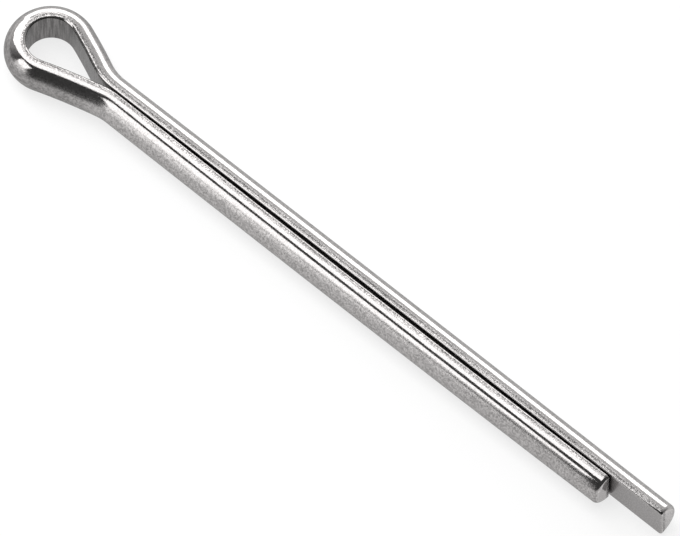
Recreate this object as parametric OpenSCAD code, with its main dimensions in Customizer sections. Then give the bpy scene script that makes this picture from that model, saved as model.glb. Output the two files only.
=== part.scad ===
// Split pin, also called a cotter pin: one length of half-round wire folded
// at its middle, so that the two flats face each other. The fold is opened
// into a teardrop eye, and one leg is left longer than the other so that the
// tips can be told apart and pried open.
//
// The shank lies along +X with the eye towards -X. The flats face +Y and -Y,
// and the width of the wire stands along Z. The origin is on the shank's axis,
// at the narrowest point of the neck.

/* [Wire] */
// Width of the half-round wire
wire_width = 4.42; // [3.5:0.02:6]
// Thickness of the wire, from its flat to its crown
wire_thickness = 2.14; // [1.8:0.02:2.8]
// Rounding along the two long edges of the flat
edge_radius = 0.36; // [0.16:0.02:0.5]

/* [Eye] */
// Inside radius of the eye's round end
eye_radius = 2.74; // [2.2:0.02:4]
// Slope of the eye's straight sides against the shank
flank_angle = 19.3; // [14:0.1:26]
// Radius of the bend at the neck, measured on the flat
neck_radius = 4.6; // [3.4:0.1:8]

/* [Legs] */
// Length of the short leg, from the neck to its tip
short_leg = 69.5; // [40:0.5:120]
// How far the long leg runs past the short one
overhang = 7; // [2:0.5:12]
// Gap between the flats at the neck
neck_gap = 0.25; // [0.1:0.01:0.6]
// Slope of each leg, away from the shank's axis as far as its middle and back towards it from there
leg_slope = 0.16; // [0.06:0.02:0.3]

/* [Tips] */
// Rounding of the crown where the wire was cut off
tip_radius = 0.5; // [0.2:0.05:0.8]
// Rounding of the flat where the wire was cut off
toe_radius = 0.3; // [0.1:0.05:0.6]

/* [Hidden] */
$fn = 120;

// Straight strokes that make up each small rounding
strokes = 4;

// How far a cutting outline runs past what it cuts
overrun = 1;

// Radius of the wire's round side, which blends into both edge roundings,
// and how far its centre lies from the flat
half_width = wire_width / 2;
crown_radius = (pow(wire_thickness - edge_radius, 2) + pow(half_width - edge_radius, 2)
    - pow(edge_radius, 2)) / (2 * (wire_thickness - 2 * edge_radius));
crown_centre = wire_thickness - crown_radius;

// Where the edge roundings are centred, and where they meet the round side
edge_z = half_width - edge_radius;
blend_angle = atan2(edge_z, edge_radius - crown_centre);

// A bend's angle, nudged up by the hair that makes its sine and cosine even
// to six figures, so that the wire beyond the bend meets it without a step
angle_step = 0.0001;
unevenness = 0.00000002;
function six_figures(v) =
    let (place = pow(10, 5 - floor(log(v))))
    round(v * place) / place;
function is_uneven(v) = abs(v - six_figures(v)) > unevenness;
function evened(steps) =
    let (angle = steps * angle_step)
    is_uneven(cos(angle)) || is_uneven(sin(angle)) ? evened(steps + 1) : angle;
eye_slope = evened(round(flank_angle / angle_step));
bow_slope = evened(round(leg_slope / angle_step));

// The flank runs from the eye's round end down to the neck bend
flank_drop = (eye_radius + neck_radius) * cos(eye_slope) - neck_radius - neck_gap / 2;
flank_length = flank_drop / sin(eye_slope);
eye_x = -(eye_radius + neck_radius) * sin(eye_slope) - flank_length * cos(eye_slope);

// Each leg is two straight runs, mitred together halfway to the short tip
out_length = (short_leg / 2 - neck_radius * sin(bow_slope)) / cos(bow_slope);
in_length = short_leg / 2 / cos(bow_slope);

// Points around a small rounding, from one angle to another
function rounding(centre, radius, from, to) = [
    for (i = [0:strokes])
        let (turn = from + (to - from) * i / strokes)
        centre + radius * [cos(turn), sin(turn)]
];

// The point one overrun past the end of a stroke
function drawn_out(start, end) = end + overrun * (end - start) / norm(end - start);

// What the flat and its rounded edges leave of the round bar. The flat lies
// on the Y axis and the crown points along +X.
module flat_side() {
    edge = rounding([edge_radius, edge_z], edge_radius, 180, blend_angle);
    upper = concat(
        [for (i = [0:strokes - 1]) edge[i]],
        [drawn_out(edge[strokes - 1], edge[strokes])],
        [[2 * wire_width, wire_width]]
    );
    last = len(upper) - 1;
    polygon(concat(
        upper,
        [for (i = [0:last]) [upper[last - i][0], -upper[last - i][1]]]
    ));
}

// The wire's half-round section
module wire_section() {
    intersection() {
        translate([crown_centre, 0]) circle(r = crown_radius);
        flat_side();
    }
}

// Lays a length drawn up Z along +X instead, with the crown towards +Y
module along_x() {
    rotate([90, 0, 90]) children();
}

// A straight run of wire along +X. What follows it starts at its far end.
module run(length) {
    along_x() linear_extrude(length) wire_section();
    translate([length, 0, 0]) children();
}

// A bend towards the flat. What follows it starts at its far end.
module bend_to_flat(radius, angle) {
    translate([0, -radius, 0]) {
        rotate([0, 0, 90]) mirror([0, 1, 0])
            rotate_extrude(angle = angle)
                translate([radius, 0]) wire_section();
        rotate([0, 0, -angle]) translate([0, radius, 0]) children();
    }
}

// A bend towards the crown. What follows it starts at its far end.
module bend_to_crown(radius, angle) {
    translate([0, radius, 0]) {
        rotate([0, 0, -90])
            rotate_extrude(angle = angle)
                translate([radius, 0]) mirror([1, 0]) wire_section();
        rotate([0, 0, angle]) translate([0, -radius, 0]) children();
    }
}

// A block that takes away all beyond X = 0
module beyond() {
    translate([0, -wire_width, -wire_width]) cube(2 * wire_width);
}

// A straight run mitred at its far end. What follows it starts there, turned
// towards the flat by twice the angle.
module mitred_run(length, angle) {
    difference() {
        along_x() linear_extrude(length + overrun) wire_section();
        translate([length, 0, 0]) rotate([0, 0, -angle]) beyond();
    }
    translate([length, 0, 0]) rotate([0, 0, -angle]) rotate([0, 0, -angle]) children();
}

// Half the outline of a round bar whose far end has a rounded rim
module nose_outline(length) {
    translate([0, -overrun]) square([crown_radius, length + overrun - tip_radius]);
    square([crown_radius - tip_radius, length]);
    translate([crown_radius - tip_radius, length - tip_radius]) circle(r = tip_radius);
}

// What the rounding of the flat takes off at the far end of a run
module toe_corner(length) {
    toe = rounding([toe_radius, length - toe_radius], toe_radius, 180, 90);
    polygon(concat(
        [drawn_out(toe[1], toe[0])],
        [for (i = [1:strokes - 1]) toe[i]],
        [drawn_out(toe[strokes - 1], toe[strokes])],
        [[-overrun, length + overrun]]
    ));
}

// The last straight run of a leg, mitred at its near end and rounded at its tip
module tip_run(length, angle) {
    difference() {
        along_x() intersection() {
            translate([crown_centre, 0, 0]) rotate_extrude() nose_outline(length);
            translate([0, 0, -2 * overrun]) linear_extrude(length + 3 * overrun) flat_side();
        }
        along_x() rotate([90, 0, 0]) linear_extrude(2 * wire_width, center = true) toe_corner(length);
        rotate([0, 0, angle]) mirror([1, 0, 0]) beyond();
    }
}

// Half of the pin: the wire from the middle of the eye to a tip, whose last
// run is longer by extra
module half_pin(extra) {
    translate([eye_x - eye_radius, 0, 0]) rotate([0, 0, 90])
        bend_to_flat(eye_radius, 90)
            bend_to_flat(eye_radius, eye_slope)
                run(flank_length)
                    bend_to_crown(neck_radius, eye_slope)
                        bend_to_crown(neck_radius, bow_slope)
                            mitred_run(out_length, bow_slope)
                                tip_run(in_length + extra, bow_slope);
}

// The whole pin
module split_pin() {
    color("silver") union() {
        half_pin(overhang);
        mirror([0, 1, 0]) half_pin(0);
    }
}

split_pin();
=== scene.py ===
import math

import bpy
from mathutils import Matrix, Vector


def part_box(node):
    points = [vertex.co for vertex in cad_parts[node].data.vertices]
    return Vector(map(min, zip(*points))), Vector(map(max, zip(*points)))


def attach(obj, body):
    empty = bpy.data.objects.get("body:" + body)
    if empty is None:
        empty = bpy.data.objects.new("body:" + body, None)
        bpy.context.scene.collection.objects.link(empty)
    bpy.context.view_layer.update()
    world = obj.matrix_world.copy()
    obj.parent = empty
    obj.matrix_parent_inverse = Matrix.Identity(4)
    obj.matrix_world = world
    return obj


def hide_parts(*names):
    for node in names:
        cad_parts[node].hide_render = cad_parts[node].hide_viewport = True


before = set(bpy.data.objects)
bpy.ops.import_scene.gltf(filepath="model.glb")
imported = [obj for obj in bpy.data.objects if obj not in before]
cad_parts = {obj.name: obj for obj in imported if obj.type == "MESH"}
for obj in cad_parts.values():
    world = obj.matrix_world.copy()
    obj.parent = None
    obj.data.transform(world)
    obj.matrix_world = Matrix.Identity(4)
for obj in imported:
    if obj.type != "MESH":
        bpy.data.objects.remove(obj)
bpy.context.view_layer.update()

MM = 0.001
# The least distance that tells two points apart, and how far a computed point may stray
HAIR = 0.001 * MM
SLACK = 5 * HAIR
UP = (0, 0, 1)

# ---------------------------------------------------------------- sizes of the wire and its folds

lowest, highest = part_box("split_pin")
wire_width = highest.z - lowest.z
wire_thickness = 2.33 * MM
edge_radius = 0.28 * MM
eye_radius = 2.63 * MM
neck_radius = 8 * MM
tip_radius = 0.5 * MM
toe_radius = 0.3 * MM
overhang = 7 * MM
long_leg = highest.x
short_leg = long_leg - overhang

# The eye's round end reaches the box's end, and sits a little towards the long leg's side
eye_offset = 0.1 * MM
eye_centre = Vector((lowest.x + wire_thickness + eye_radius, eye_offset, 0))

# The round side of the section is an arc that blends into both edge roundings
half_width = wire_width / 2
crown_radius = ((wire_thickness - edge_radius) ** 2 + (half_width - edge_radius) ** 2
                - edge_radius ** 2) / (2 * (wire_thickness - 2 * edge_radius))
crown_centre = wire_thickness - crown_radius
edge_z = half_width - edge_radius
blend_angle = math.atan2(edge_z, edge_radius - crown_centre)

# How each side is bent. The way is the side's direction along Y. A flank radius is negative
# where the flank is hollow. The half gap is from the shank's axis to the flat at the neck,
# and the bow is how much further from the axis the flat is halfway along the leg.
SHORT_SIDE = {
    "way": -1,
    "eye_slope": math.radians(19.1),
    "flank_radius": -76 * MM,
    "half_gap": 0.08 * MM,
    "bow": 0.14 * MM,
    "reach": short_leg,
}
LONG_SIDE = {
    "way": 1,
    "eye_slope": math.radians(20.4),
    "flank_radius": 58 * MM,
    "half_gap": 0.03 * MM,
    "bow": 0.06 * MM,
    "reach": long_leg,
}

# How many straight strokes make up each curve. The crown's are those of its whole circle.
CROWN_VERTICES = 180
EDGE_STEPS = 7
FLAT_CUTS = 7
EYE_STEPS = 72
FLANK_STEPS = 12
NECK_STEPS = 24
LEG_STEPS = 40
TIP_STEPS = 7

# How much of a cut face lies inside its rim, and how far along a tip's rounding it begins
FACE_SHARE = 0.95
FACE_START = 0.9 * tip_radius
# Edges sharper than this stay crisp
CREASE_ANGLE = math.radians(50)


# ---------------------------------------------------------------- the pin

def select_vertices(piece, test):
    """Selects the vertices whose place passes the test, and nothing else."""
    bpy.ops.mesh.select_all(action="DESELECT")
    bpy.ops.object.mode_set(mode="OBJECT")
    for vertex in piece.data.vertices:
        vertex.select = test(vertex.co)
    bpy.ops.object.mode_set(mode="EDIT")


def spin_about(centre, angle, steps, axis=UP):
    """Carries what is selected round a centre, anticlockwise about the axis."""
    bpy.ops.mesh.spin(steps=steps, angle=-angle, center=centre, axis=axis)


def push(step):
    """Extrudes what is selected by a step."""
    bpy.ops.mesh.extrude_region_move(TRANSFORM_OT_translate={"value": step})


def draw_section(pin):
    """Draws the half-round section where the wire is folded, at the far side of the eye."""
    flat_x = eye_centre.x - eye_radius
    tangent_x = flat_x - crown_centre - crown_radius * math.cos(blend_angle)
    bpy.ops.mesh.bisect(plane_co=(tangent_x, 0, 0), plane_no=(1, 0, 0), clear_outer=True,
                        threshold=HAIR / 10)
    for side in (1, -1):
        select_vertices(pin, lambda co: abs(co.x - tangent_x) < HAIR and co.z * side > 0)
        edge_centre = (flat_x - edge_radius, eye_centre.y, side * edge_z)
        spin_about(edge_centre, side * (math.pi - blend_angle), EDGE_STEPS, axis=(0, 1, 0))
    select_vertices(pin, lambda co: abs(co.x - flat_x) < HAIR)
    bpy.ops.mesh.edge_face_add()
    bpy.ops.mesh.subdivide(number_cuts=FLAT_CUTS)
    bpy.ops.mesh.select_all(action="SELECT")
    bpy.ops.mesh.edge_face_add()


class Leg:
    """One half of the wire as it is folded: how far its flat has got, and which way it heads."""

    def __init__(self, way):
        self.way = way
        self.spot = eye_centre - Vector((eye_radius, 0, 0))
        self.along = Vector((0, way, 0))
        self.length = 0
        self.stretches = []

    def outward(self):
        """Which way the round side of the wire faces."""
        return Vector((-self.way * self.along.y, self.way * self.along.x, 0))

    def bend(self, radius, angle, steps):
        """Folds the selected section on. It curls towards its flat where the radius is positive."""
        centre = self.spot - radius * self.outward()
        turn = -self.way * math.copysign(angle, radius)
        spin_about(centre, turn, steps)
        self.stretches.append((centre, radius, angle, self.spot - centre, self.length))
        turned = Matrix.Rotation(turn, 3, "Z")
        self.spot = centre + turned @ (self.spot - centre)
        self.along = turned @ self.along
        self.length += abs(radius) * angle

    def reaches(self, co, level):
        """Whether a point of this leg lies as far along it as a level, or further."""
        return (co - level).dot(self.along) > -SLACK and co.y * self.way > 0

    def unfolded(self, co):
        """Where a point lies on the straight wire: along it, out from its flat and across it."""
        for number, (centre, radius, angle, start, begins) in enumerate(self.stretches, 1):
            arm = co - centre
            arm.z = 0
            curl = math.copysign(1, radius)
            turned = -self.way * curl * math.atan2(start.x * arm.y - start.y * arm.x, start.dot(arm))
            out = (arm.length - abs(radius)) * curl
            covered = turned * abs(radius)
            on_wire = -edge_radius < out < wire_thickness + edge_radius
            on_last = number == len(self.stretches)
            if on_wire and covered > -SLACK and (on_last or turned < angle):
                return Vector((self.way * (begins + covered), out, co.z))
        return None


def round_tip(pin, leg):
    """Rolls the rim of a leg's end over, as a round bar's, and rounds the end of its flat."""
    outward = leg.outward()
    core = leg.spot + crown_centre * outward
    for step in range(TIP_STEPS):
        start = math.pi / 2 * step / TIP_STEPS
        end = math.pi / 2 * (step + 1) / TIP_STEPS
        forward = tip_radius * (math.sin(end) - math.sin(start)) * leg.along
        shrink = (crown_radius - tip_radius * (1 - math.cos(end))) \
            / (crown_radius - tip_radius * (1 - math.cos(start)))
        push(forward)
        core += forward
        bpy.ops.transform.resize(value=(shrink, shrink, shrink), center_override=core)
        left = tip_radius * (1 - math.sin(end))
        if left < toe_radius:
            lift = toe_radius - math.sqrt(toe_radius ** 2 - (toe_radius - left) ** 2)
            level = core + (lift - crown_centre) * outward
            select_vertices(pin, lambda co: leg.reaches(co, level) and (co - level).dot(outward) < 0)
            bpy.ops.transform.resize(value=(1, 0, 1), center_override=level)
            select_vertices(pin, lambda co: leg.reaches(co, core))
    push((0, 0, 0))
    middle = core + wire_thickness / 2 * outward
    bpy.ops.transform.resize(value=(FACE_SHARE, FACE_SHARE, FACE_SHARE), center_override=middle)


def fold_leg(pin, side):
    """Carries the selected section from the middle of the eye to a tip."""
    leg = Leg(side["way"])
    eye_slope, flank_radius = side["eye_slope"], side["flank_radius"]
    leg.bend(eye_radius, math.pi / 2 + eye_slope, EYE_STEPS)
    # The flank's slope at its end, from which the neck's bend brings the flat to its half gap
    neck_slope = math.acos(
        (side["half_gap"] + neck_radius - leg.spot.y * leg.way + flank_radius * math.cos(eye_slope))
        / (flank_radius + neck_radius))
    leg.bend(flank_radius, abs(neck_slope - eye_slope), FLANK_STEPS)
    bowed_length = short_leg - tip_radius
    bow_slope = 4 * side["bow"] / bowed_length
    leg.bend(-neck_radius, neck_slope + bow_slope, NECK_STEPS)
    bow_radius = bowed_length / (2 * math.sin(bow_slope))
    end_slope = math.asin((side["reach"] - tip_radius - leg.spot.x) / bow_radius - math.sin(bow_slope))
    leg.bend(bow_radius, bow_slope + end_slope, LEG_STEPS)
    round_tip(pin, leg)
    return leg


def mark_wire(pin, long_leg_path, short_leg_path):
    """Writes on each vertex where it lies on the straight wire, and whether it is on a cut face."""
    pin.data.attributes.new("unfolded", "FLOAT_VECTOR", "POINT")
    pin.data.attributes.new("cut_face", "FLOAT", "POINT")
    unfolded = pin.data.attributes["unfolded"]
    cut_face = pin.data.attributes["cut_face"]
    for vertex in pin.data.vertices:
        place = long_leg_path.unfolded(vertex.co) or short_leg_path.unfolded(vertex.co)
        path = long_leg_path if place.x > 0 else short_leg_path
        unfolded.data[vertex.index].vector = place
        cut_face.data[vertex.index].value = abs(place.x) > path.length + FACE_START


def make_pin():
    """Folds the pin from its section, one leg after the other."""
    bpy.ops.object.select_all(action="DESELECT")
    bpy.ops.mesh.primitive_circle_add(
        vertices=CROWN_VERTICES, radius=crown_radius, fill_type="NOTHING",
        location=(eye_centre.x - eye_radius - crown_centre, eye_centre.y, 0),
        rotation=(math.pi / 2, 0, 0))
    pin = bpy.context.object
    pin.name = "folded_wire"
    bpy.ops.object.transform_apply(location=True, rotation=True, scale=True)
    bpy.ops.object.mode_set(mode="EDIT")
    draw_section(pin)
    long_leg_path = fold_leg(pin, LONG_SIDE)
    select_vertices(pin, lambda co: abs(co.y - eye_centre.y) < HAIR and co.x < eye_centre.x)
    short_leg_path = fold_leg(pin, SHORT_SIDE)
    bpy.ops.mesh.select_all(action="SELECT")
    bpy.ops.mesh.normals_make_consistent(inside=False)
    bpy.ops.object.mode_set(mode="OBJECT")
    bpy.ops.object.shade_smooth_by_angle(angle=CREASE_ANGLE)
    mark_wire(pin, long_leg_path, short_leg_path)
    return pin


# ---------------------------------------------------------------- the steel

STEEL_COLOUR = (0.44, 0.426, 0.422)
# Its colour where it is seen along its surface
STEEL_EDGE_TINT = (0.68, 0.68, 0.68, 1)
# The real height that a relief of 1 stands for, and how deep each kind of relief is
RELIEF_HEIGHT = 0.03 * MM
GRAIN_DEPTH = 0.12
LINE_DEPTH = 0.08
PIT_DEPTH = 1.5
WRINKLE_DEPTH = 1.5

# What each part of the wire adds to the roughness
PART_ROUGHNESS = {"rolled_edge": 0.12, "on_flat": 0.16, "scuffed": 0.2}
# How bright each part is against the rest. The cut ends are made lighter, as a painted reflection.
# The darker flat and crown inside the eye are painted shade.
PART_SHADES = {"on_flat": 0.9, "wrinkled_and_shaded": 0.52, "shaded_eye_crown": 0.72, "cut_face": 1.4}


def add_node(tree, kind, values=None, **settings):
    """Adds a node, and sets its settings and the inputs that hold a value."""
    node = tree.nodes.new(kind)
    for name, value in settings.items():
        setattr(node, name, value)
    for name, value in (values or {}).items():
        node.inputs[name].default_value = value
    return node


def feed(tree, target, source):
    """Sets an input to a number, or links a socket to it."""
    if isinstance(source, (int, float)):
        target.default_value = source
    else:
        tree.links.new(source, target)


def calculate(tree, operation, first, second=0):
    """A Math node on two sockets or numbers."""
    node = add_node(tree, "ShaderNodeMath", operation=operation)
    feed(tree, node.inputs[0], first)
    feed(tree, node.inputs[1], second)
    return node.outputs["Value"]


def rescale(tree, value, span, to_span):
    """Carries a value smoothly from one span to another, and holds it there beyond both ends."""
    node = add_node(tree, "ShaderNodeMapRange", {
        "From Min": span[0], "From Max": span[1], "To Min": to_span[0], "To Max": to_span[1]},
        interpolation_type="SMOOTHSTEP")
    tree.links.new(value, node.inputs["Value"])
    return node.outputs["Result"]


def noise(tree, vector, per_metre, detail, roughness=0.5):
    """A noise with so many features to the metre."""
    node = add_node(tree, "ShaderNodeTexNoise", {
        "Scale": per_metre, "Detail": detail, "Roughness": roughness})
    tree.links.new(vector, node.inputs["Vector"])
    return node.outputs["Fac"]


def stretched(tree, place, along=1, across=1):
    """The unfolded place, drawn out so that a noise on it lies in lines."""
    node = add_node(tree, "ShaderNodeVectorMath", {1: (along, 1, across)}, operation="MULTIPLY")
    tree.links.new(place, node.inputs[0])
    return node.outputs["Vector"]


def add_share(tree, base, amount, share):
    """Adds a share of an amount. Each of the three is a socket or a number."""
    return calculate(tree, "ADD", base, calculate(tree, "MULTIPLY", amount, share))


def shade_by(tree, shade, factor, mask):
    """Multiplies a shade by a factor where the mask is 1, and leaves it alone where that is 0."""
    change = calculate(tree, "SUBTRACT", factor, 1)
    return calculate(tree, "MULTIPLY", shade, add_share(tree, 1, change, mask))


def part_masks(tree, along, out):
    """Masks for the parts of the wire whose finish differs."""
    on_flat = rescale(tree, out, (0, 0.1 * MM), (1, 0))
    in_eye = rescale(tree, calculate(tree, "ABSOLUTE", along), (8 * MM, 14 * MM), (1, 0))
    past_flat = rescale(tree, out, (0.12 * MM, 0.32 * MM), (0, 1))
    before_side = rescale(tree, out, (0.4 * MM, 0.72 * MM), (1, 0))
    # The crown is scuffed along the line on which it rubs against other pins
    scuffed = rescale(tree, out, (1.35 * MM, 1.95 * MM), (0, 1))
    return {
        "on_flat": on_flat,
        # The rolled edges of the flat were never burnished
        "rolled_edge": calculate(tree, "MINIMUM", past_flat, before_side),
        "scuffed": scuffed,
        # The fold left wrinkles in the flat in the eye. Inside the eye the flat and the crown are also
        # darkened, as painted shade.
        "wrinkled_and_shaded": calculate(tree, "MULTIPLY", on_flat, in_eye),
        "shaded_eye_crown": calculate(tree, "MULTIPLY", in_eye, scuffed),
        "cut_face": add_node(tree, "ShaderNodeAttribute", attribute_name="cut_face").outputs["Fac"],
    }


def steel_relief(tree, place, wrinkles, masks):
    """The height of the grain, the drawing lines, the edge's pits and the fold's wrinkles."""
    grain = noise(tree, place, per_metre=5000, detail=3, roughness=0.6)
    lines = noise(tree, stretched(tree, place, along=0.02), per_metre=9000, detail=3, roughness=0.6)
    pits = noise(tree, place, per_metre=8000, detail=2, roughness=0.7)
    pit_depth = calculate(tree, "MULTIPLY", masks["rolled_edge"], PIT_DEPTH)
    wrinkle_depth = calculate(tree, "MULTIPLY", masks["wrinkled_and_shaded"], WRINKLE_DEPTH)
    height = calculate(tree, "MULTIPLY", grain, GRAIN_DEPTH)
    height = add_share(tree, height, lines, LINE_DEPTH)
    height = add_share(tree, height, pits, pit_depth)
    return add_share(tree, height, wrinkles, wrinkle_depth)


def steel_roughness(tree, place, masks):
    """Burnished on the whole, and rougher in some parts."""
    tarnish = noise(tree, place, per_metre=300, detail=3)
    roughness = rescale(tree, tarnish, (0.3, 0.7), (0.07, 0.1))
    for part, extra in PART_ROUGHNESS.items():
        roughness = add_share(tree, roughness, extra, masks[part])
    return roughness


def steel_shade(tree, place, wrinkles, masks):
    """How bright the steel is against its plain colour."""
    speckle = noise(tree, place, per_metre=7000, detail=2, roughness=0.7)
    shade = rescale(tree, speckle, (0.35, 0.65), (0.72, 1.04))
    specks = rescale(tree, speckle, (0.4, 0.6), (0.45, 1.1))
    shade = shade_by(tree, shade, specks, masks["rolled_edge"])
    rolled = noise(tree, stretched(tree, place, along=0.03), per_metre=7000, detail=2)
    lines = rescale(tree, rolled, (0.4, 0.6), (0.55, 1))
    shade = shade_by(tree, shade, lines, masks["rolled_edge"])
    rubbed = noise(tree, place, per_metre=4200, detail=3, roughness=0.65)
    blotches = rescale(tree, rubbed, (0.35, 0.6), (0.68, 1.14))
    shade = shade_by(tree, shade, blotches, masks["scuffed"])
    streaks = rescale(tree, wrinkles, (0.35, 0.65), (0.7, 1.35))
    shade = shade_by(tree, shade, streaks, masks["wrinkled_and_shaded"])
    for part, factor in PART_SHADES.items():
        shade = calculate(tree, "MULTIPLY", shade, rescale(tree, masks[part], (0, 1), (1, factor)))
    return shade


def make_steel():
    """Drawn and tumbled steel: bright, with a fine grain and faint lines along the wire."""
    material = bpy.data.materials.new("drawn_steel")
    material.use_nodes = True
    tree = material.node_tree
    shader = tree.nodes["Principled BSDF"]
    shader.inputs["Metallic"].default_value = 1
    shader.inputs["Specular Tint"].default_value = STEEL_EDGE_TINT
    place = add_node(tree, "ShaderNodeAttribute", attribute_name="unfolded").outputs["Vector"]
    split = add_node(tree, "ShaderNodeSeparateXYZ")
    tree.links.new(place, split.inputs["Vector"])
    masks = part_masks(tree, split.outputs["X"], split.outputs["Y"])
    crosswise = stretched(tree, place, across=0.06)
    wrinkles = noise(tree, crosswise, per_metre=4500, detail=4, roughness=0.6)

    bump = add_node(tree, "ShaderNodeBump", {"Strength": 1, "Distance": RELIEF_HEIGHT})
    tree.links.new(steel_relief(tree, place, wrinkles, masks), bump.inputs["Height"])
    tree.links.new(bump.outputs["Normal"], shader.inputs["Normal"])
    tree.links.new(steel_roughness(tree, place, masks), shader.inputs["Roughness"])
    colour = add_node(tree, "ShaderNodeVectorMath", {0: STEEL_COLOUR}, operation="SCALE")
    tree.links.new(steel_shade(tree, place, wrinkles, masks), colour.inputs["Scale"])
    tree.links.new(colour.outputs["Vector"], shader.inputs["Base Color"])
    return material


# ---------------------------------------------------------------- floor, lights and camera

FLOOR_WIDTH = 6
FLOOR_COLOUR = (0.94, 0.94, 0.94, 1)
# How much of what the camera and the steel see of the floor is plain white, which softens
# the shadow
FLOOR_GLOW = 0.75
LAMP_RADIANCE = 2.6
# Where the room's pale wall stands, as seen from the pin
PALE_WALL = (-0.6, 0.8, 0)


def make_floor():
    """A pale floor that the pin lies on."""
    bpy.ops.object.select_all(action="DESELECT")
    bpy.ops.mesh.primitive_plane_add(size=FLOOR_WIDTH, location=(0, 0, lowest.z))
    floor = bpy.context.object
    floor.name = "floor"
    material = bpy.data.materials.new("pale_floor")
    material.use_nodes = True
    tree = material.node_tree
    shader = tree.nodes["Principled BSDF"]
    shader.inputs["Base Color"].default_value = FLOOR_COLOUR
    shader.inputs["Roughness"].default_value = 1
    shader.inputs["Specular IOR Level"].default_value = 0
    glow = add_node(tree, "ShaderNodeEmission", {"Color": (1, 1, 1, 1), "Strength": 1})
    rays = add_node(tree, "ShaderNodeLightPath")
    seen = calculate(tree, "MAXIMUM", rays.outputs["Is Camera Ray"], rays.outputs["Is Glossy Ray"])
    seen = calculate(tree, "MAXIMUM", seen, rays.outputs["Is Transmission Ray"])
    blend = add_node(tree, "ShaderNodeMixShader")
    tree.links.new(calculate(tree, "MULTIPLY", seen, FLOOR_GLOW), blend.inputs["Fac"])
    tree.links.new(shader.outputs["BSDF"], blend.inputs[1])
    tree.links.new(glow.outputs["Emission"], blend.inputs[2])
    tree.links.new(blend.outputs["Shader"], tree.nodes["Material Output"].inputs["Surface"])
    floor.data.materials.append(material)


def direction(azimuth, elevation):
    """A unit vector. Azimuth 0 is towards +X, and 90 is towards +Y."""
    turn = math.radians(azimuth)
    rise = math.radians(elevation)
    return Vector((math.cos(rise) * math.cos(turn), math.cos(rise) * math.sin(turn), math.sin(rise)))


def add_softbox(name, spot, width, height, radiance=LAMP_RADIANCE):
    """An area light at a place, which faces the pin."""
    bpy.ops.object.light_add(type="AREA", location=spot)
    lamp = bpy.context.object
    lamp.name = name
    lamp.data.shape = "RECTANGLE"
    lamp.data.size = width
    lamp.data.size_y = height
    lamp.data.energy = radiance * math.pi * width * height
    lamp.rotation_euler = spot.to_track_quat("Z", "Y").to_euler()
    return lamp


def make_lights():
    """A long strip over the pin, which faces straight down, and softboxes around it."""
    spot = Vector((-0.41, -0.004, 0.35))
    overhead = add_softbox("overhead_strip", spot, width=1.1, height=0.266)
    overhead.rotation_euler = (0, 0, 0)
    add_softbox("front_softbox", 0.7 * direction(-121.5, 37), width=0.28, height=0.37)
    add_softbox("front_card", 0.7 * direction(-119, 9), width=0.36, height=0.3, radiance=2.1)
    add_softbox("back_softbox", 0.8 * direction(125, 11), width=1.0, height=0.42)
    add_softbox("corner_softbox", 0.8 * direction(166, 29), width=0.36, height=0.46)


def make_room():
    """Soft light from the room, brighter towards its pale wall than towards its dark side."""
    world = bpy.data.worlds.new("room")
    bpy.context.scene.world = world
    world.use_nodes = True
    tree = world.node_tree
    towards_wall = add_node(tree, "ShaderNodeVectorMath", {1: PALE_WALL}, operation="DOT_PRODUCT")
    coordinates = add_node(tree, "ShaderNodeTexCoord")
    tree.links.new(coordinates.outputs["Generated"], towards_wall.inputs[0])
    level = rescale(tree, towards_wall.outputs["Value"], (-0.2, 0.9), (0.08, 1))
    tree.links.new(level, tree.nodes["Background"].inputs["Strength"])
    tree.nodes["Background"].inputs["Color"].default_value = (1, 1, 1, 1)


def make_camera():
    """A long lens that looks down on the pin from beside its short leg."""
    azimuth = math.radians(41.65)
    elevation = math.radians(60.13)
    roll = math.radians(0.23)
    aim = Vector((31.4, 0.67, 0)) * MM
    view_width = 70.63 * MM
    lens = 1100
    sensor = 36
    back = Vector((math.sin(azimuth) * math.cos(elevation),
                   -math.cos(azimuth) * math.cos(elevation), math.sin(elevation)))
    right = Vector((math.cos(azimuth), math.sin(azimuth), 0))
    turn = Matrix((right, back.cross(right), back)).transposed() @ Matrix.Rotation(roll, 3, "Z")
    bpy.ops.object.camera_add(location=aim + lens / sensor * view_width * back)
    camera = bpy.context.object
    camera.rotation_euler = turn.to_euler()
    camera.data.lens = lens
    camera.data.sensor_width = sensor
    camera.data.clip_start = 0.1
    camera.data.clip_end = 10
    bpy.context.scene.camera = camera


# ---------------------------------------------------------------- the scene

pin = make_pin()
pin.data.materials.append(make_steel())
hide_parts("split_pin")
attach(pin, "root")
make_floor()
make_lights()
make_room()
make_camera()
bpy.context.scene.view_settings.view_transform = "Standard"
bpy.context.view_layer.update()
